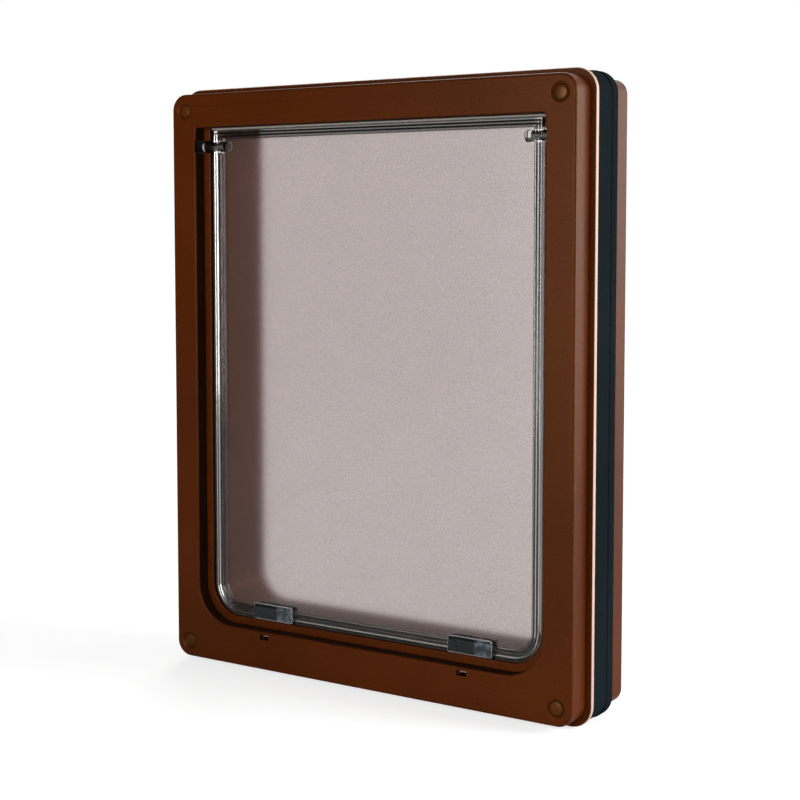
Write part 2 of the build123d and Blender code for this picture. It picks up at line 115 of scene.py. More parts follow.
class DoorSizes(bpy.types.PropertyGroup):
    """Sizes of the detail that is added to the solids."""

    frame_edge: length("Frame edge", "Rounding of the sharp edges of the moulded frames", 0.0003)
    flap_edge: length("Flap edge", "Rounding of the edges of the flap and its ribs", 0.00025)
    small_edge: length("Small edge", "Rounding of the edges of the small pieces", 0.0002)
    seal_edge: length("Seal edge", "Rounding of the soft strip over the flap", 0.0005)
    rim_radius: length("Rim radius", "Corner radius of the widest rims of the frames", 0.0165)
    bristle_spacing: length("Bristle spacing", "Distance between bristles along a strip", 0.0005)
    bristle_row_pitch: length("Row pitch", "Distance between rows of bristles", 0.00055)
    bristle_thickness: length("Bristle thickness", "Thickness of a bristle at its root", 0.00038)
    bristle_length: length("Bristle length", "Length from the wall of the throat", 0.00245)
    bristle_rows: IntProperty(
        name="Bristle rows", description="Rows across a strip", default=5, min=1, max=12
    )
    bristle_lean: FloatProperty(
        name="Bristle lean",
        description="How far bristles lean at random, 0 for none",
        default=0.22,
        min=0.0,
        max=1.0,
    )
    backing_width: length("Backing width", "Width of the woven backing of a strip", 0.0041)
    backing_depth: length("Backing depth", "Depth of the woven backing in its groove", 0.0007)
    cap_reach: length("Cap reach", "How far the brim of a screw cap reaches past its plug", 0.00125)
    cap_crown: length("Cap crown", "Height of the low crown of a screw cap over its brim", 0.00095)
    flap_border: length("Flap border", "Width of the ribbed border of the flap", 0.0062)
    rib_width: length("Rib width", "Width of a rib of the border", 0.0012)
    rib_pitch: length("Rib pitch", "Distance between the ribs of the border", 0.0025)


class DoorColours(bpy.types.PropertyGroup):
    """Base colours of the finishes."""

    brown: colour("Brown", "Moulded frames", (0.064, 0.0112, 0.0004))
    cap: colour("Cap", "Screw caps", (0.07, 0.0145, 0.0008))
    # painted highlight: a pale colour for the outermost rim, standing in for light catching its edge
    rim: colour("Rim", "Rubbed outermost rim of the front frame", (0.6, 0.41, 0.33))
    ring: colour("Ring", "Dark ring between the frames", (0.006, 0.0095, 0.0115))
    clear: colour("Clear", "Clear flap", (0.48, 0.42, 0.41))
    # painted highlight and painted shade: pale ribs and near black grooves stand in for the light
    # and dark lines of the clear ribbed border
    border: colour("Border", "Ribs of the flap's border", (0.75, 0.72, 0.7))
    groove: colour("Groove", "Grooves between the ribs of the border", (0.012, 0.01, 0.009))
    trunnion: colour("Trunnion", "Trunnions of the flap", (0.93, 0.9, 0.88))
    smoke: colour("Smoke", "Smoke-tinted closers", (0.035, 0.038, 0.042))
    # the next two colours are painted: a pale reflection beside the magnet and highlights along the
    # edges of the closers
    haze: colour("Haze", "Cloudy end of the closers", (0.32, 0.37, 0.42))
    polish: colour("Polish", "Polished edges of the closers", (0.85, 0.87, 0.88))
    black: colour("Black", "Sleeves and sockets of the pivots", (0.012, 0.012, 0.012))
    # painted highlight: a pale band at the outer end of each pivot sleeve
    bush: colour("Bush", "Pale end of the pivot sleeves", (0.95, 0.93, 0.9))
    steel: colour("Steel", "Pins, keepers and screws", (0.62, 0.61, 0.59))
    magnet: colour("Magnet", "Magnets", (0.022, 0.021, 0.021))
    pile: colour("Pile", "Brush pile", (0.022, 0.021, 0.016))
    felt: colour("Felt", "Soft strip over the flap", (0.36, 0.33, 0.29))
    floor: colour("Floor", "Studio floor", (0.6, 0.6, 0.6))


def sizes():
    """The sizes that are set in the scene."""
    return bpy.context.scene.dog_door_sizes


def colours():
    """The colours that are set in the scene."""
    return bpy.context.scene.dog_door_colours


# Node trees, written as expressions


class Wire:
    """A socket that can stand in a sum or a product; each operation adds a Math node."""

    def __init__(self, graph, socket):
        self.graph = graph
        self.socket = socket

    def __add__(self, other):
        return self.graph.math("ADD", self, other)

    def __radd__(self, other):
        return self.graph.math("ADD", other, self)

    def __sub__(self, other):
        return self.graph.math("SUBTRACT", self, other)

    def __rsub__(self, other):
        return self.graph.math("SUBTRACT", other, self)

    def __mul__(self, other):
        return self.graph.math("MULTIPLY", self, other)

    def __rmul__(self, other):
        return self.graph.math("MULTIPLY", other, self)

    def __truediv__(self, other):
        return self.graph.math("DIVIDE", self, other)

    def __rtruediv__(self, other):
        return self.graph.math("DIVIDE", other, self)

    def __abs__(self):
        return self.graph.math("ABSOLUTE", self, 0.0)


class Made:
    """A node whose outputs are read as wires, by name or by number."""

    def __init__(self, graph, node):
        self.graph = graph
        self.node = node

    def __getitem__(self, key):
        return Wire(self.graph, self.node.outputs[key])


class Graph:
    """A node tree that is built node by node."""

    def __init__(self, tree):
        self.tree = tree

    def add(self, kind, settings=None, inputs=None):
        """A node of a kind, with its settings made first and then its sockets set or linked."""
        node = self.tree.nodes.new(kind)
        for key, value in (settings or {}).items():
            if key == "stops":
                elements = node.color_ramp.elements
                while len(elements) < len(value):
                    elements.new(1.0)
                for stop, (place, grey) in zip(elements, value):
                    stop.position = place
                    stop.color = (grey, grey, grey, 1.0)
            else:
                setattr(node, key, value)
        for key, value in (inputs or {}).items():
            if isinstance(value, Wire):
                self.tree.links.new(value.socket, node.inputs[key])
            else:
                node.inputs[key].default_value = value
        return Made(self, node)

    def math(self, operation, first, second):
        """A Math node with two values."""
        return self.add("ShaderNodeMath", {"operation": operation}, {0: first, 1: second})[0]

    def vector(self, operation, first, second):
        """A Vector Math node with two vectors."""
        return self.add("ShaderNodeVectorMath", {"operation": operation}, {0: first, 1: second})[0]

    def scaled(self, vector, factor):
        """A vector times a number."""
        settings = {"operation": "SCALE"}
        return self.add("ShaderNodeVectorMath", settings, {0: vector, "Scale": factor})[0]

    def ramp(self, value, *stops):
        """Grey ramp through stops of (place, grey)."""
        return self.add("ShaderNodeValToRGB", {"stops": stops}, {"Fac": value})[0]

    def mix(self, factor, first, second):
        """Colour between two colours, which are the sockets 6 and 7 of a Mix node."""
        inputs = {0: factor, 6: first, 7: second}
        return self.add("ShaderNodeMix", {"data_type": "RGBA"}, inputs)[2]

    def distance(self, aside, level):
        """Straight distance to a place that lies aside and level by two lengths."""
        return self.math("SQRT", aside * aside + level * level, 0.0)


def tone(rgb, factor=1.0):
    """The colour made lighter or darker, as a colour with alpha."""
    return tuple(min(1.0, channel * factor) for channel in rgb) + (1.0,)


class Finish(Graph):
    """A material round one Principled shader, whose constants are set on its own sockets."""

    def __init__(self, name, **constants):
        self.material = bpy.data.materials.new(name)
        self.material.use_nodes = True
        super().__init__(self.material.node_tree)
        self.tree.nodes.clear()
        self.shader = self.tree.nodes.new("ShaderNodeBsdfPrincipled")
        self.surface = self.tree.nodes.new("ShaderNodeOutputMaterial").inputs["Surface"]
        self.tree.links.new(self.shader.outputs[0], self.surface)
        for key, value in constants.items():
            self.shader.inputs[key.replace("_", " ")].default_value = value
        self.place = self.add("ShaderNodeTexCoord")["Object"]

    def drive(self, **wires):
        """Links what changes over the surface to the shader."""
        for key, wire in wires.items():
            self.tree.links.new(wire.socket, self.shader.inputs[key.replace("_", " ")])
        return self.material

    def cover(self, factor, other):
        """Lays another shader over the finish where the factor is 1."""
        own = Wire(self, self.shader.outputs[0])
        mixed = self.add("ShaderNodeMixShader", {}, {0: factor, 1: own, 2: other})
        self.tree.links.new(mixed.node.outputs[0], self.surface)

    def parts(self):
        """The place on the surface, split into X, Y and Z."""
        return self.add("ShaderNodeSeparateXYZ", {}, {"Vector": self.place})

    def noise(self, waves, detail=2.0, roughness=0.5):
        """Noise from 0 to 1, with its waves per metre as one number or as one for each axis."""
        place = self.place
        if isinstance(waves, tuple):
            place = self.vector("MULTIPLY", place, waves)
            waves = 1.0
        inputs = {"Vector": place, "Scale": waves, "Detail": detail, "Roughness": roughness}
        return self.add("ShaderNodeTexNoise", {}, inputs)[0]

    def shades(self, factor, rgb, dark, light):
        """Colour between a dark and a light tone of one colour."""
        return self.mix(factor, tone(rgb, dark), tone(rgb, light))

    def bump(self, height, strength, depth):
        """Normals of a grain with its height from 0 to 1 and its depth in metres."""
        inputs = {"Height": height, "Strength": strength, "Distance": depth}
        return self.add("ShaderNodeBump", {}, inputs)[0]


# Finishes


def moulded(finish, rgb, rough, grain_depth):
    """Colour, roughness and bump of matte plastic with a fine leathery grain and faint clouding."""
    fine = finish.noise(850.0, detail=3.0, roughness=0.75)
    coarse = finish.noise(520.0)
    cloud = finish.noise(9.0, detail=3.0)
    clouded = finish.ramp(fine * 0.75 + cloud * 0.25, (0.36, 0.0), (0.64, 1.0))
    shade = finish.shades(clouded, rgb, dark=0.5, light=1.5)
    roughness = rough + (fine - 0.5) * 0.12 + (cloud - 0.5) * 0.08
    grain = finish.bump(fine * 0.7 + coarse * 0.3, strength=0.5, depth=grain_depth)
    return shade, roughness, grain


def brown_moulding():
    """Brown plastic of the frames, with a painted highlight on the outermost rim and painted shade
    inside the mouth, which is also rougher there.
    """
    finish = Finish(
        "brown_moulding", Specular_IOR_Level=0.2, Specular_Tint=(1.0, 0.58, 0.33, 1.0)
    )
    shade, roughness, grain = moulded(finish, colours().brown, rough=0.38, grain_depth=0.0001)
    # painted highlight: the outermost rim of the frames turns pale, as where light catches an edge
    painted_rim_highlight = finish.ramp(rim_depth(finish) * IN_MM, (0.45, 1.0), (0.6, 0.0))
    # painted shade: the walls of the mouth and the throat are darkened to near black and made
    # rougher
    dull = mouth_recess(finish)
    painted_recess_shade = finish.mix(dull, shade, tone(colours().brown, 0.15))
    return finish.drive(
        Base_Color=finish.mix(painted_rim_highlight, painted_recess_shade, tone(colours().rim)),
        Roughness=roughness + dull * 0.4,
        Normal=grain,
    )


def cap_moulding():
    """Glossier brown plastic of the screw caps, with painted shade where their brim meets the dish.
    """
    low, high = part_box("screw_caps")
    radius = cap_radius()
    finish = Finish("cap_moulding", Specular_IOR_Level=0.32, Specular_Tint=(1.0, 0.62, 0.3, 1.0))
    shade, roughness, grain = moulded(finish, colours().cap, rough=0.32, grain_depth=0.0001)
    parts = finish.parts()
    aside = abs(parts["X"]) - (high.x - radius)
    level = abs(parts["Z"] - (low.z + high.z) / 2) - ((high.z - low.z) / 2 - radius)
    share = finish.distance(aside, level) / (radius + sizes().cap_reach)
    # painted shade: a dark, rougher ring where the brim meets the dish
    brim = finish.ramp(share, (0.74, 0.0), (0.86, 1.0))
    return finish.drive(
        Base_Color=finish.mix(brim, shade, tone(colours().cap, 0.2)),
        Roughness=roughness + brim * 0.4,
        Normal=grain,
    )


def mouth_recess(finish):
    """1 on the walls of the mouth and the throat, and 0 on the ledge between and elsewhere; the
    brown is darkened there as painted shade.
    """
    flap_low, flap_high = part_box("flap_panel")
    socket_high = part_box("pivot_socket_right")[1]
    ledge_before_flap = 0.0007
    ledge = flap_low.y - ledge_before_flap
    parts = finish.parts()
    behind = finish.ramp((parts["Y"] - cad_low.y) * IN_MM, (0.6, 0.0), (0.9, 1.0))
    off_ledge = finish.ramp(abs(parts["Y"] - ledge) * IN_MM, (0.3, 0.0), (0.5, 1.0))
    front = finish.ramp((parts["Y"] - socket_high.y) * IN_MM + 1.0, (0.9, 1.0), (1.0, 0.0))
    aside = finish.ramp((abs(parts["X"]) - socket_high.x) * IN_MM, (0.1, 1.0), (0.3, 0.0))
    above = finish.ramp((parts["Z"] - flap_low.z) * IN_CM + 1.0, (0.02, 0.0), (0.05, 1.0))
    below = finish.ramp((parts["Z"] - flap_high.z) * IN_CM, (0.6, 1.0), (0.7, 0.0))
    return behind * off_ledge * front * aside * above * below


def rim_depth(finish):
    """How far inside the outline of the widest rims a place is, in metres."""
    middle = (cad_low + cad_high) / 2
    radius = sizes().rim_radius
    parts = finish.parts()
    aside = finish.math("MAXIMUM", abs(parts["X"]) - (cad_high.x - radius), 0.0)
    level = abs(parts["Z"] - middle.z)
    above = finish.math("MAXIMUM", level - (cad_high.z - middle.z - radius), 0.0)
    return radius - finish.distance(aside, above)


def ring_moulding():
    """Dull near black plastic of the ring between the frames."""
    finish = Finish("ring_moulding", Specular_IOR_Level=0.014)
    shade, roughness, grain = moulded(finish, colours().ring, rough=0.82, grain_depth=0.00008)
    return finish.drive(Base_Color=shade, Roughness=roughness, Normal=grain)


def clear_sheet():
    """Clear plastic with a faint grain, with painted shade in the grooves of the border and painted
    highlights on its ribs.
    """
    chosen = colours()
    rib_width = sizes().rib_width
    rib_pitch = sizes().rib_pitch
    finish = Finish(
        "clear_sheet", Transmission_Weight=1.0, IOR=CLEAR_IOR, Specular_IOR_Level=0.5
    )
    fine = finish.noise(1300.0, detail=3.0, roughness=0.6)
    cloud = finish.noise(30.0)
    grain = finish.ramp(fine * 0.95 + cloud * 0.05, (0.3, 0.0), (0.7, 1.0))
    sheet = finish.shades(grain, chosen.clear, dark=0.7, light=1.3)
    depth = flap_depth(finish)
    across = finish.math("PINGPONG", depth + rib_width / 2, rib_pitch / 2)
    off_groove = (across - (rib_pitch - rib_width) / 2) * IN_MM + 0.5
    rib = finish.ramp(off_groove, (0.35, 0.0), (0.65, 1.0))
    # painted highlight, strongest on the outermost rib
    outer = finish.ramp(depth * IN_CM, (0.11, 1.0), (0.14, 0.5))
    painted_rib_highlight = rib * outer * along_sides(finish)
    # painted highlight on the ribs and painted shade in the grooves of the clear border
    ribs = finish.mix(painted_rib_highlight, tone(chosen.groove), tone(chosen.border))
    open_sheet = finish.ramp((depth - sizes().flap_border) * IN_MM, (0.0, 0.0), (0.3, 1.0))
    panel = finish.mix(open_sheet, ribs, sheet)
    return finish.drive(
        Base_Color=finish.mix(near_pivots(finish), panel, tone(chosen.trunnion)),
        Roughness=0.04 + open_sheet * 0.13 + fine * 0.04,
        Normal=finish.bump(fine, strength=0.12, depth=0.00005),
    )


def along_sides(finish):
    """1 on the upright parts of the border, where the ribs get their full painted highlight, and
    less elsewhere.
    """
    width = flap_outline()[0]
    aside = abs(finish.parts()["X"])
    return finish.ramp((aside - width) * IN_CM + 1.0, (0.3, 0.4), (0.4, 1.0))


def near_pivots(finish):
    """1 on the trunnions and 0 elsewhere."""
    sleeve_low, sleeve_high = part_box("flap_sleeve_right")
    parts = finish.parts()
    level = abs(parts["Z"] - (sleeve_low.z + sleeve_high.z) / 2)
    within = finish.ramp(level * IN_CM, (0.44, 1.0), (0.47, 0.0))
    outside = finish.ramp(
        (abs(parts["X"]) - sleeve_low.x) * IN_CM + 0.5, (0.3, 0.0), (0.35, 1.0)
    )
    return within * outside


def flap_depth(finish):
    """How far a place is inside the flap's outline, round at the foot and square at the top."""
    low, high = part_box("flap_panel")
    width, radius = flap_outline()
    parts = finish.parts()
    aside = finish.math("MAXIMUM", abs(parts["X"]) - (width - radius), 0.0)
    down = finish.math("MAXIMUM", (low.z + radius) - parts["Z"], 0.0)
    return finish.math("MINIMUM", radius - finish.distance(aside, down), high.z - parts["Z"])


def flap_outline():
    """Half the width of the flap below its trunnions, and the radius of its lower corners."""
    low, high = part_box("flap_panel")
    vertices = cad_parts["flap_panel"].data.vertices
    lower_half = [v.co for v in vertices if v.co.z < (low.z + high.z) / 2]
    width = max(place.x for place in lower_half)
    straight = min(place.z for place in lower_half if place.x > width - LEVEL_WITHIN)
    return width, straight - low.z


def smoke_tint():
    """Smoke-tinted clear plastic, with painted highlights along its edges and a painted cloudy
    reflection beside the magnet.
    """
    low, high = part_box("closer_housing_right")
    magnet_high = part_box("closer_magnet_right")[1]
    middle = (low + high) / 2
    finish = Finish(
        "smoke_tint", Transmission_Weight=0.75, IOR=CLEAR_IOR, Specular_IOR_Level=0.5
    )
    fine = finish.noise(900.0)
    cloud = finish.noise(260.0, detail=3.0)
    parts = finish.parts()
    along = parts["X"] - finish.math("SIGN", parts["X"], 0.0) * middle.x
    end = (high.x - middle.x) - abs(along)
    level = (high.z - middle.z) - abs(parts["Z"] - middle.z)
    # painted highlight along the edges of the closers
    rim = finish.ramp(finish.math("MINIMUM", end, level) * IN_MM, (0.5, 1.0), (0.7, 0.0))
    # painted reflection: a cloudy pale patch beside the magnet
    beside = finish.ramp((along - (magnet_high.x - middle.x)) * IN_CM, (0.0, 0.0), (0.15, 1.0))
    painted_reflection_share = beside * finish.ramp(cloud, (0.42, 0.2), (0.6, 1.0))
    shade = finish.shades(fine, colours().smoke, dark=0.8, light=1.2)
    tint = finish.mix(painted_reflection_share, shade, tone(colours().haze))
    return finish.drive(
        Base_Color=finish.mix(rim, tint, tone(colours().polish)),
        Roughness=0.02 + fine * 0.05,
        Normal=finish.bump(fine, strength=0.1, depth=0.00004),
    )


def black_moulding():
    """Smooth black plastic with fine handling marks."""
    finish = Finish("black_moulding", Specular_IOR_Level=0.5)
    fine = finish.noise(1100.0, detail=3.0)
    streak = finish.noise((300.0, 1500.0, 300.0))
    return finish.drive(
        Base_Color=finish.shades(fine, colours().black, dark=0.8, light=1.3),
        Roughness=0.24 + streak * 0.12,
        Normal=finish.bump(fine, strength=0.1, depth=0.00003),
    )


def sleeve_moulding():
    """Black plastic of a sleeve with a painted highlight, a pale band, at its outer end."""
    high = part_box("flap_sleeve_right")[1]
    finish = Finish("sleeve_moulding", Specular_IOR_Level=0.5)
    fine = finish.noise(1100.0, detail=3.0)
    aside = abs(finish.parts()["X"])
    # painted highlight: the outer end of the sleeve turns pale
    bush = finish.ramp((aside - high.x) * IN_CM + 1.0, (0.83, 0.0), (0.85, 1.0))
    black = finish.shades(fine, colours().black, dark=0.8, light=1.3)
    return finish.drive(
        Base_Color=finish.mix(bush, black, tone(colours().bush)),
        Roughness=0.22 + fine * 0.12,
        Normal=finish.bump(fine, strength=0.1, depth=0.00003),
    )


def brushed_steel():
    """Bright steel with fine drawn lines along X."""
    finish = Finish("brushed_steel", Metallic=1.0)
    drawn = finish.noise((150.0, 4000.0, 4000.0), detail=3.0)
    stain = finish.noise(200.0)
    return finish.drive(
        Base_Color=finish.shades(drawn * 0.6 + stain * 0.4, colours().steel, dark=0.78, light=1.1),
        Roughness=0.2 + drawn * 0.18,
        Normal=finish.bump(drawn, strength=0.15, depth=0.00002),
    )


def ferrite():
    """Dark sintered magnet with a dull speckled face."""
    finish = Finish("ferrite", Metallic=0.3)
    speck = finish.noise(2200.0, detail=4.0, roughness=0.7)
    speckled = finish.ramp(speck, (0.45, 0.0), (0.65, 1.0))
    return finish.drive(
        Base_Color=finish.shades(speckled, colours().magnet, dark=0.8, light=1.9),
        Roughness=0.42 + speck * 0.2,
        Normal=finish.bump(speck, strength=0.25, depth=0.00004),
    )


def stiff_pile():
    """Stiff dark fibres, a little lighter towards some tips."""
    finish = Finish("stiff_pile", Specular_IOR_Level=0.3)
    fibre = finish.noise(1900.0)
    patch = finish.noise(160.0)
    mottled = finish.ramp(fibre * 0.6 + patch * 0.4, (0.35, 0.0), (0.68, 1.0))
    return finish.drive(
        Base_Color=finish.shades(mottled, colours().pile, dark=0.55, light=2.6),
        Roughness=0.62 + fibre * 0.2,
    )


def pale_felt():
    """Pale felt with loose fibres on its surface."""
    finish = Finish("pale_felt", Specular_IOR_Level=0.2, Sheen_Weight=0.3)
    fibre = finish.noise((900.0, 2600.0, 2600.0), detail=4.0, roughness=0.7)
    patch = finish.noise(240.0, detail=3.0)
    return finish.drive(
        Base_Color=finish.shades(fibre * 0.6 + patch * 0.4, colours().felt, dark=0.72, light=1.2),
        Roughness=0.86 + patch * 0.1,
        Normal=finish.bump(fibre, strength=0.6, depth=0.0002),
    )


def finish_of(maker):
    """The finish that the maker builds, built once."""
    return bpy.data.materials.get(maker.__name__) or maker()


# Pieces


def link(name, data):
    """A new object at the origin that holds the data."""
    piece = bpy.data.objects.new(name, data)
    bpy.context.scene.collection.objects.link(piece)
    return piece


def made_plain(piece):
    """The evaluated shape of a piece as a plain mesh with no modifier left on it."""
    depsgraph = bpy.context.evaluated_depsgraph_get()
    shape = bpy.data.meshes.new_from_object(
        piece.evaluated_get(depsgraph), preserve_all_data_layers=True, depsgraph=depsgraph
    )
    name = piece.name
    bpy.data.objects.remove(piece)
    shape.name = name
    return link(name, shape)


def merged_mesh(nodes, name):
    """The solids' loose triangles merged into one closed mesh."""
    merge_within = 1e-6
    shape = bmesh.new()
    for node in nodes:
        shape.from_mesh(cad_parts[node].data)
    bmesh.ops.remove_doubles(shape, verts=shape.verts, dist=merge_within)
    mesh = bpy.data.meshes.new(name)
    shape.to_mesh(mesh)
    shape.free()
    if "custom_normal" in mesh.attributes:
        mesh.attributes.remove(mesh.attributes["custom_normal"])
    mesh.materials.clear()
    return mesh


def dressed(name, nodes, edge, maker, body, segments=2):
    """A copy of solids with their edges rounded and smooth shading, that stands for them."""
    rounded_from = math.radians(28)  # flatter edges stay as they are
    piece = link(name, merged_mesh(nodes, name))
    bevel = piece.modifiers.new("edges", "BEVEL")
    bevel.width = edge
    bevel.segments = segments
    bevel.limit_method = "ANGLE"
    bevel.angle_limit = rounded_from
    bevel.use_clamp_overlap = False
    weigh = piece.modifiers.new("shading", "WEIGHTED_NORMAL")
    weigh.keep_sharp = True
    piece.data.shade_smooth()
    piece = made_plain(piece)
    piece.data.materials.clear()
    piece.data.materials.append(finish_of(maker))
    return settled(piece, body, nodes)


def settled(piece, body, nodes):
    """The piece, riding on its body and the solids that it stands for."""
    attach(piece, body)
    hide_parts(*nodes)
    return piece


def run_tree(name, tree, source, values):
    """The plain mesh that a geometry tree makes of a source object, with named inputs set."""
    modifier = source.modifiers.new(name, "NODES")
    modifier.node_group = tree
    for item in tree.interface.items_tree:
        if item.item_type == "SOCKET" and item.in_out == "INPUT" and item.name in values:
            modifier[item.identifier] = values[item.name]
    source.name = name
    return made_plain(source)


def new_tree(name, *inputs):
    """A geometry tree with a geometry input, named inputs and one geometry output."""
    tree = bpy.data.node_groups.new(name, "GeometryNodeTree")
    tree.interface.new_socket("Geometry", in_out="INPUT", socket_type="NodeSocketGeometry")
    for label, kind in inputs:
        tree.interface.new_socket(label, in_out="INPUT", socket_type="NodeSocket" + kind)
    tree.interface.new_socket("Geometry", in_out="OUTPUT", socket_type="NodeSocketGeometry")
    graph = Graph(tree)
    return tree, graph, graph.add("NodeGroupInput")


def close_tree(graph, geometry, material):
    """Ends a tree in real geometry with its material."""
    real = graph.add("GeometryNodeRealizeInstances", {}, {"Geometry": geometry})[0]
    inputs = {"Geometry": real, "Material": material}
    painted = graph.add("GeometryNodeSetMaterial", {}, inputs)[0]
    graph.add("NodeGroupOutput", {}, {"Geometry": painted})


def bristle_tree():
    """Bristles that stand square to a line, in rows, with a woven backing behind them."""
    sides = 4
    tip_radius = 0.2  # as a share of the thickness at the root
    root_radius = 0.5
    row_jitter = 0.3  # as a share of the distance between rows
    line_jitter = 0.5  # as a share of the distance between bristles
    shortest = 0.82  # as a share of the length
    depth_axis = (0.0, 1.0, 0.0)
    tree, graph, given = new_tree(
        "bristles",
        ("Spacing", "Float"),
        ("Rows", "Int"),
        ("Row pitch", "Float"),
        ("Length", "Float"),
        ("Thickness", "Float"),
        ("Lean", "Float"),
        ("Backing width", "Float"),
        ("Backing depth", "Float"),
        ("Seed", "Int"),
        ("Material", "Material"),
    )
    line = given["Geometry"]
    points = graph.add(
        "GeometryNodeCurveToPoints",
        {"mode": "LENGTH"},
        {"Curve": line, "Length": given["Spacing"]},
    )
    copies = graph.add(
        "GeometryNodeDuplicateElements",
        {"domain": "POINT"},
        {"Geometry": points["Points"], "Amount": given["Rows"]},
    )
    row = copies["Duplicate Index"] - (given["Rows"] - 1.0) / 2.0
    across = row * given["Row pitch"]

    def chance(low, high, step):
        """A random number for each bristle, between the sockets 2 and 3 of its node."""
        inputs = {2: low, 3: high, "Seed": given["Seed"] + float(step)}
        return graph.add("FunctionNodeRandomValue", {"data_type": "FLOAT"}, inputs)[1]

    off_row = across + chance(-row_jitter, row_jitter, 1) * given["Row pitch"]
    jitter = graph.add("ShaderNodeCombineXYZ", {}, {"Y": off_row})[0]
    slid = chance(-line_jitter, line_jitter, 2) * given["Spacing"]
    slide = graph.scaled(points["Tangent"], slid)
    offset = graph.vector("ADD", jitter, slide)
    moved = graph.add(
        "GeometryNodeSetPosition", {}, {"Geometry": copies["Geometry"], "Offset": offset}
    )[0]
    inward = graph.vector("CROSS_PRODUCT", points["Tangent"], depth_axis)
    any_way = {0: (-1.0, -1.0, -1.0), 1: (1.0, 1.0, 1.0), "Seed": given["Seed"] + 3.0}
    stray = graph.add("FunctionNodeRandomValue", {"data_type": "FLOAT_VECTOR"}, any_way)[0]
    leaning = graph.vector("ADD", inward, graph.scaled(stray, given["Lean"]))
    turned = graph.add("FunctionNodeAlignRotationToVector", {"axis": "Z"}, {"Vector": leaning})[0]
    bristle = graph.add(
        "GeometryNodeMeshCone",
        {"fill_type": "NGON"},
        {
            "Vertices": sides,
            "Radius Top": given["Thickness"] * tip_radius,
            "Radius Bottom": given["Thickness"] * root_radius,
            "Depth": given["Length"],
        },
    )[0]
    reach = {"X": 1.0, "Y": 1.0, "Z": chance(shortest, 1.0, 4)}
    standing = graph.add(
        "GeometryNodeInstanceOnPoints",
        {},
        {
            "Points": moved,
            "Instance": bristle,
            "Rotation": turned,
            "Scale": graph.add("ShaderNodeCombineXYZ", {}, reach)[0],
        },
    )[0]
    level = graph.add(
        "GeometryNodeSetCurveNormal", {"mode": "FREE"}, {"Curve": line, "Normal": depth_axis}
    )[0]
    section = graph.add(
        "GeometryNodeCurvePrimitiveQuadrilateral",
        {"mode": "RECTANGLE"},
        {"Width": given["Backing width"], "Height": given["Backing depth"]},
    )[0]
    backing = graph.add(
        "GeometryNodeCurveToMesh", {}, {"Curve": level, "Profile Curve": section, "Fill Caps": True}
    )[0]
    joined = graph.add("GeometryNodeJoinGeometry")
    tree.links.new(standing.socket, joined.node.inputs[0])
    tree.links.new(backing.socket, joined.node.inputs[0])
    close_tree(graph, joined[0], given["Material"])
    return tree


def strip_lines():
    """The three lines along the wall of the throat that bristles stand on."""
    left_low, left_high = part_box("brush_strip_left")
    middle_low, middle_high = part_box("brush_strip_middle")
    right_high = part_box("brush_strip_right")[1]
    backing = frame_backing()
    y = (left_low.y + left_high.y) / 2
    low_z = left_low.z + backing
    wall_x = right_high.x - backing
    radius = corner_radius()
    steps = 10
    left = [Vector((-wall_x, y, left_high.z)), Vector((-wall_x, y, low_z + radius))]
    for step in range(1, steps + 1):
        turn = math.radians(90 * step / steps)
        x = -wall_x + radius * (1 - math.cos(turn))
        left.append(Vector((x, y, low_z + radius * (1 - math.sin(turn)))))
    left.append(Vector((left_high.x, y, low_z)))
    middle = [Vector((middle_low.x, y, low_z)), Vector((middle_high.x, y, low_z))]
    right = [Vector((-place.x, place.y, place.z)) for place in reversed(left)]
    return left, middle, right


def frame_backing():
    """Depth of the backing's groove: how far the strips reach past the wall of the throat."""
    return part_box("brush_strip_right")[1].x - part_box("top_seal")[1].x


def corner_radius():
    """Radius of the lower corners of the throat, from the curved part of a strip."""
    places = [v.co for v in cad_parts["brush_strip_left"].data.vertices]
    low = min(place.z for place in places)
    outer = min(place.x for place in places)
    straight = min(place.z for place in places if abs(place.x - outer) < LEVEL_WITHIN)
    return straight - low - frame_backing()


def brushes():
    """Bristles in place of the plain strips."""
    data = bpy.data.curves.new("brush_lines", "CURVE")
    data.dimensions = "3D"
    for points in strip_lines():
        spline = data.splines.new("POLY")
        spline.points.add(len(points) - 1)
        for place, point in zip(spline.points, points):
            place.co = (*point, 1.0)
    chosen = sizes()
    values = {
        "Spacing": chosen.bristle_spacing,
        "Rows": chosen.bristle_rows,
        "Row pitch": chosen.bristle_row_pitch,
        "Length": chosen.bristle_length,
        "Thickness": chosen.bristle_thickness,
        "Lean": chosen.bristle_lean,
        "Backing width": chosen.backing_width,
        "Backing depth": chosen.backing_depth,
        "Seed": 7,
        "Material": finish_of(stiff_pile),
    }
    piece = run_tree("brush_bristles", bristle_tree(), link("brush_lines", data), values)
    return settled(piece, "frame", BRUSH_STRIPS)


def cap_profile(reach, crown):
    """Radius and depth of a cap's skin, from the middle of its crown over its brim to its foot."""
    low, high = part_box("screw_caps")
    radius = cap_radius()
    brim = low.y + crown
    brim_thickness = 0.00012
    brim_to_plug = 0.0011
    swing = 75  # degrees of the arc that the crown follows
    steps = 8
    points = []
    for step in range(steps + 1):
        turn = math.radians(swing * step / steps)
        out = math.sin(turn) / math.sin(math.radians(swing))
        fall = (1 - math.cos(turn)) / (1 - math.cos(math.radians(swing)))
        points.append(((radius + reach) * out, low.y + crown * fall))
    points.append((radius + reach, brim + brim_thickness))
    points.append((radius, brim + brim_to_plug))
    points.append((radius, high.y))
    points.append((0.0, high.y))
    return points


def cap_radius():
    """Radius of a cap, from the solids on the right."""
    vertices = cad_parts["screw_caps"].data.vertices
    right = [v.co.x for v in vertices if v.co.x > 0]
    return (max(right) - min(right)) / 2


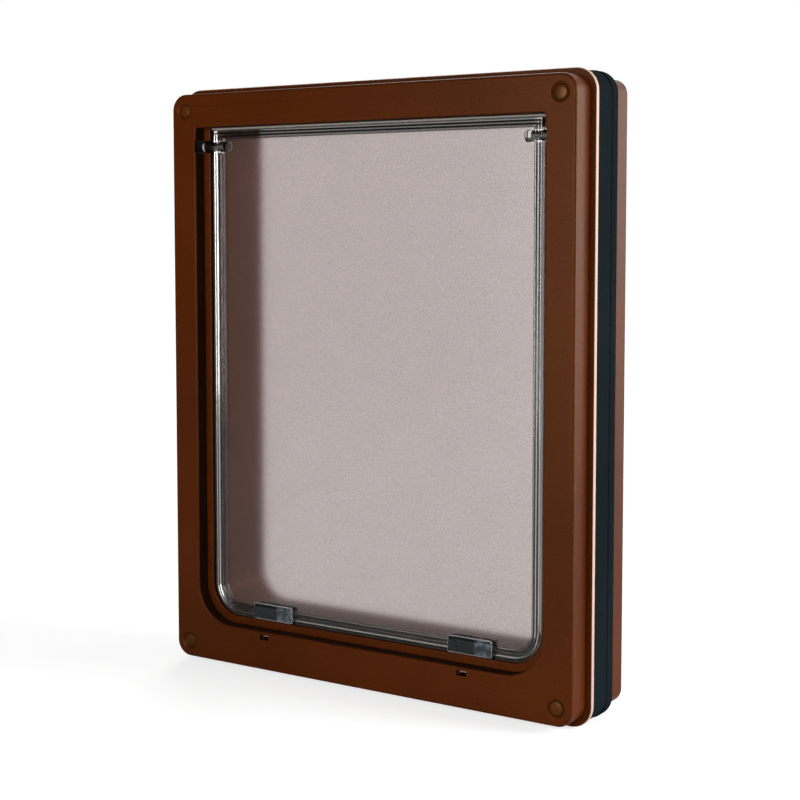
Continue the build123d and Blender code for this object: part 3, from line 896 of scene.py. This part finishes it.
def lathe(name, profile, steps):
    """A closed skin turned round the Y axis."""
    on_axis = 1e-7
    sharp_from = math.radians(40)
    shape = bmesh.new()
    rings = []
    for radius, y in profile:
        if radius < on_axis:
            rings.append([shape.verts.new((0.0, y, 0.0))])
            continue
        ring = []
        for step in range(steps):
            turn = 2 * math.pi * step / steps
            ring.append(shape.verts.new((radius * math.cos(turn), y, radius * math.sin(turn))))
        rings.append(ring)
    for first, second in zip(rings, rings[1:]):
        for step in range(steps):
            corners = [first[step % len(first)], first[(step + 1) % len(first)]]
            corners += [second[(step + 1) % len(second)], second[step % len(second)]]
            shape.faces.new([v for place, v in enumerate(corners) if v not in corners[:place]])
    bmesh.ops.recalc_face_normals(shape, faces=shape.faces)
    mesh = bpy.data.meshes.new(name)
    shape.to_mesh(mesh)
    shape.free()
    mesh.shade_smooth()
    mesh.set_sharp_from_angle(angle=sharp_from)
    return mesh


def corner_tree():
    """Copies of a shape on the four corners of an upright rectangle."""
    quarter_turn = (math.pi / 2, 0.0, 0.0)
    tree, graph, given = new_tree(
        "corner_copies",
        ("Width", "Float"),
        ("Height", "Float"),
        ("Middle height", "Float"),
        ("Material", "Material"),
    )
    corners = {"Vertices X": 2, "Vertices Y": 2}
    size = {"Size X": given["Width"], "Size Y": given["Height"]}
    grid = graph.add("GeometryNodeMeshGrid", {}, size | corners)[0]
    place = graph.add("ShaderNodeCombineXYZ", {}, {"Z": given["Middle height"]})[0]
    upright = graph.add(
        "GeometryNodeTransform",
        {},
        {"Geometry": grid, "Translation": place, "Rotation": quarter_turn},
    )[0]
    copies = graph.add(
        "GeometryNodeInstanceOnPoints", {}, {"Points": upright, "Instance": given["Geometry"]}
    )[0]
    close_tree(graph, copies, given["Material"])
    return tree


def caps():
    """Domed caps in place of the plain plugs."""
    low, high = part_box("screw_caps")
    radius = cap_radius()
    round_steps = 40
    profile = cap_profile(sizes().cap_reach, sizes().cap_crown)
    source = link("cap", lathe("cap", profile, round_steps))
    values = {
        "Width": high.x - low.x - 2 * radius,
        "Height": high.z - low.z - 2 * radius,
        "Middle height": (low.z + high.z) / 2,
        "Material": finish_of(cap_moulding),
    }
    piece = run_tree("domed_caps", corner_tree(), source, values)
    return settled(piece, "frame", ["screw_caps"])


# Stage

WHITE = (1.0, 1.0, 1.0, 1.0)

# Each lamp's place from the middle of the door, its width and height in metres and its watts
LAMPS = {
    "key_lamp": ((-0.03, -1.6, 0.15), 1.0, 1.0, 23.0),
    "side_lamp": ((1.85, 0.5, 0.2), 0.8, 1.3, 54.0),
    "rear_lamp": ((1.2, 1.45, 0.3), 0.8, 1.2, 9.0),
    "fill_lamp": ((-1.0, 1.5, 2.1), 1.2, 1.2, 18.0),
}


def studio_floor():
    """Pale floor, white to the camera apart from the shadow, and white through clear plastic."""
    near_glow = 0.7
    far_glow = 0.3  # added to the near glow
    finish = Finish("studio_floor", Roughness=0.9, Specular_IOR_Level=0.1)
    cloud = finish.noise(2.0)
    seen = finish.add("ShaderNodeLightPath")
    reach = finish.add("ShaderNodeVectorMath", {"operation": "LENGTH"}, {0: finish.place})["Value"]
    far = finish.ramp(reach * 0.2, (0.12, 0.0), (0.6, 1.0))
    glow = seen["Is Camera Ray"] * (near_glow + far * far_glow)
    plain = finish.add("ShaderNodeEmission", {}, {"Color": WHITE, "Strength": 1.0})[0]
    finish.cover(seen["Is Transmission Ray"], plain)
    finish.shader.inputs["Emission Color"].default_value = WHITE
    return finish.drive(
        Base_Color=finish.shades(cloud, colours().floor, dark=0.99, light=1.0),
        Emission_Strength=glow,
    )


def studio_world():
    """Soft white surround that the camera, gloss and clear plastic see as the backdrop."""
    diffuse_level = 0.06
    to_right, to_rear, to_top = 0.75, 0.66, 0.2  # where gloss sees it brightest
    world = bpy.data.worlds.new("studio")
    world.use_nodes = True
    graph = Graph(world.node_tree)
    graph.tree.nodes.clear()
    seen = graph.add("ShaderNodeLightPath")
    direction = graph.add("ShaderNodeTexCoord")["Generated"]
    parts = graph.add("ShaderNodeSeparateXYZ", {}, {"Vector": direction})
    facing = parts["X"] * to_right + parts["Y"] * to_rear + parts["Z"] * to_top
    gloss_level = graph.ramp(facing * 0.5 + 0.5, (0.3, 0.03), (0.7, 1.0))
    direct = seen["Is Camera Ray"] + seen["Is Transmission Ray"]
    gloss = seen["Is Glossy Ray"]
    indirect = gloss * gloss_level + (1.0 - gloss) * diffuse_level
    strength = direct + (1.0 - direct) * indirect
    backdrop = graph.add("ShaderNodeBackground", {}, {"Color": WHITE, "Strength": strength})[0]
    graph.add("ShaderNodeOutputWorld", {}, {"Surface": backdrop})
    bpy.context.scene.world = world


def lamp(name, place, aim, width, height, power):
    """A soft rectangular lamp that faces a point."""
    data = bpy.data.lights.new(name, "AREA")
    data.shape = "RECTANGLE"
    data.size = width
    data.size_y = height
    data.energy = power
    piece = link(name, data)
    piece.location = place
    piece.rotation_euler = (Vector(aim) - Vector(place)).to_track_quat("-Z", "Y").to_euler()


def camera():
    """Camera at the height and angle of the product view, aimed a little down."""
    yaw = 0.57872
    pitch = 0.0725
    place = (0.6639, -0.99849, 0.35527)
    data = bpy.data.cameras.new("camera")
    data.sensor_width = 36.0
    data.lens = 70.397
    data.shift_y = -0.075
    data.clip_start = 0.05
    piece = link("camera", data)
    level = Vector((-math.sin(yaw), math.cos(yaw), 0.0))
    ahead = level * math.cos(pitch) - Vector((0.0, 0.0, math.sin(pitch)))
    right = Vector((math.cos(yaw), math.sin(yaw), 0.0))
    up = right.cross(ahead)
    turned = Matrix((right, up, -ahead)).transposed().to_4x4()
    piece.matrix_world = Matrix.Translation(place) @ turned
    bpy.context.scene.camera = piece


def floor():
    """A wide floor under the door with a gentle rise towards its far edges."""
    half_width = 9.0
    squares = 60
    drop = -0.0002
    flat_reach = 5.0
    rise = 0.002
    shape = bmesh.new()
    bmesh.ops.create_grid(shape, x_segments=squares, y_segments=squares, size=half_width)
    for vert in shape.verts:
        reach = math.hypot(vert.co.x, vert.co.y)
        vert.co.z = drop + rise * max(0.0, reach - flat_reach) ** 2
    mesh = bpy.data.meshes.new("floor")
    shape.to_mesh(mesh)
    shape.free()
    mesh.shade_smooth()
    mesh.materials.append(finish_of(studio_floor))
    link("floor", mesh)


# Operators


class DOGDOOR_OT_stage(bpy.types.Operator):
    """Set up the floor, the lamps, the surround and the camera"""

    bl_idname = "dog_door.stage"
    bl_label = "Stage"

    def execute(self, context):
        context.scene.view_settings.view_transform = "Standard"
        studio_world()
        floor()
        middle = (cad_low + cad_high) / 2
        for name, (offset, width, height, power) in LAMPS.items():
            lamp(name, middle + Vector(offset), middle, width, height, power)
        camera()
        return {"FINISHED"}


class DOGDOOR_OT_frames(bpy.types.Operator):
    """Dress the front frame, the dark ring and the rear frame"""

    bl_idname = "dog_door.frames"
    bl_label = "Frames"

    def execute(self, context):
        edge = sizes().frame_edge
        for name, maker, slot in (
            ("front_frame", brown_moulding, "brown_plastic"),
            ("rear_frame", brown_moulding, "brown_plastic"),
            ("spacer_ring", ring_moulding, "dark_plastic"),
        ):
            dressed(name + "_moulding", [name], edge, maker, "frame")
        return {"FINISHED"}


class DOGDOOR_OT_flap(bpy.types.Operator):
    """Dress the clear flap"""

    bl_idname = "dog_door.flap"
    bl_label = "Flap"

    def execute(self, context):
        edge = sizes().flap_edge
        dressed("clear_flap", ["flap_panel"], edge, clear_sheet, "flap")
        return {"FINISHED"}


class DOGDOOR_OT_pivots(bpy.types.Operator):
    """Dress the sleeves, pins and sockets of the pivots"""

    bl_idname = "dog_door.pivots"
    bl_label = "Pivots"

    def execute(self, context):
        edge = sizes().small_edge
        for side in SIDES:
            for name, node, maker, slot, body in (
                ("sleeve_", "flap_sleeve_", sleeve_moulding, "black_plastic", "flap"),
                ("pin_", "hinge_pin_", brushed_steel, "steel", "frame"),
                ("socket_", "pivot_socket_", black_moulding, "black_plastic", "frame"),
            ):
                dressed(name + side, [node + side], edge, maker, body)
        return {"FINISHED"}


class DOGDOOR_OT_closers(bpy.types.Operator):
    """Dress the magnet closers on the flap and their keepers under the sill"""

    bl_idname = "dog_door.closers"
    bl_label = "Magnet closers"

    def execute(self, context):
        edge = sizes().small_edge
        for side in SIDES:
            for name, node, maker, slot, body in (
                ("closer_", "closer_housing_", smoke_tint, "smoke_plastic", "flap"),
                ("cover_", "closer_cover_", smoke_tint, "smoke_plastic", "flap"),
                ("magnet_", "closer_magnet_", ferrite, "magnet", "flap"),
                ("keeper_", "sill_keeper_", brushed_steel, "steel", "frame"),
            ):
                dressed(name + side, [node + side], edge, maker, body)
        return {"FINISHED"}


class DOGDOOR_OT_brushes(bpy.types.Operator):
    """Stand bristles round the flap"""

    bl_idname = "dog_door.brushes"
    bl_label = "Brush strips"

    def execute(self, context):
        brushes()
        return {"FINISHED"}


class DOGDOOR_OT_top_seal(bpy.types.Operator):
    """Dress the soft strip over the flap"""

    bl_idname = "dog_door.top_seal"
    bl_label = "Top seal"

    def execute(self, context):
        edge = sizes().seal_edge
        dressed("felt_strip", ["top_seal"], edge, pale_felt, "frame", segments=3)
        return {"FINISHED"}


class DOGDOOR_OT_fasteners(bpy.types.Operator):
    """Make the domed screw caps and dress the clamp screws behind them"""

    bl_idname = "dog_door.fasteners"
    bl_label = "Screws and caps"

    def execute(self, context):
        caps()
        edge = sizes().small_edge
        dressed("corner_screws", ["clamp_screws"], edge, brushed_steel, "frame")
        return {"FINISHED"}


OPERATORS = (
    DOGDOOR_OT_stage,
    DOGDOOR_OT_frames,
    DOGDOOR_OT_flap,
    DOGDOOR_OT_pivots,
    DOGDOOR_OT_closers,
    DOGDOOR_OT_brushes,
    DOGDOOR_OT_top_seal,
    DOGDOOR_OT_fasteners,
)


class VIEW3D_PT_dog_door(bpy.types.Panel):
    """Buttons that build the dog door piece by piece"""

    bl_label = "Dog Door"
    bl_space_type = "VIEW_3D"
    bl_region_type = "UI"
    bl_category = "Dog Door"

    def draw(self, context):
        for operator in OPERATORS:
            self.layout.operator(operator.bl_idname)
        for group in (context.scene.dog_door_sizes, context.scene.dog_door_colours):
            box = self.layout.box()
            for key in group.__annotations__:
                box.prop(group, key)


CLASSES = (DoorSizes, DoorColours, *OPERATORS, VIEW3D_PT_dog_door)


def register():
    """Makes the sizes, colours, operators and panel known."""
    for kind in CLASSES:
        bpy.utils.register_class(kind)
    bpy.types.Scene.dog_door_sizes = PointerProperty(type=DoorSizes)
    bpy.types.Scene.dog_door_colours = PointerProperty(type=DoorColours)


def unregister():
    """Takes them away again."""
    del bpy.types.Scene.dog_door_sizes
    del bpy.types.Scene.dog_door_colours
    for kind in reversed(CLASSES):
        bpy.utils.unregister_class(kind)


def main():
    """Builds the whole scene."""
    register()
    for operator in OPERATORS:
        group, name = operator.bl_idname.split(".")
        getattr(getattr(bpy.ops, group), name)()


if __name__ == "__main__":
    main()
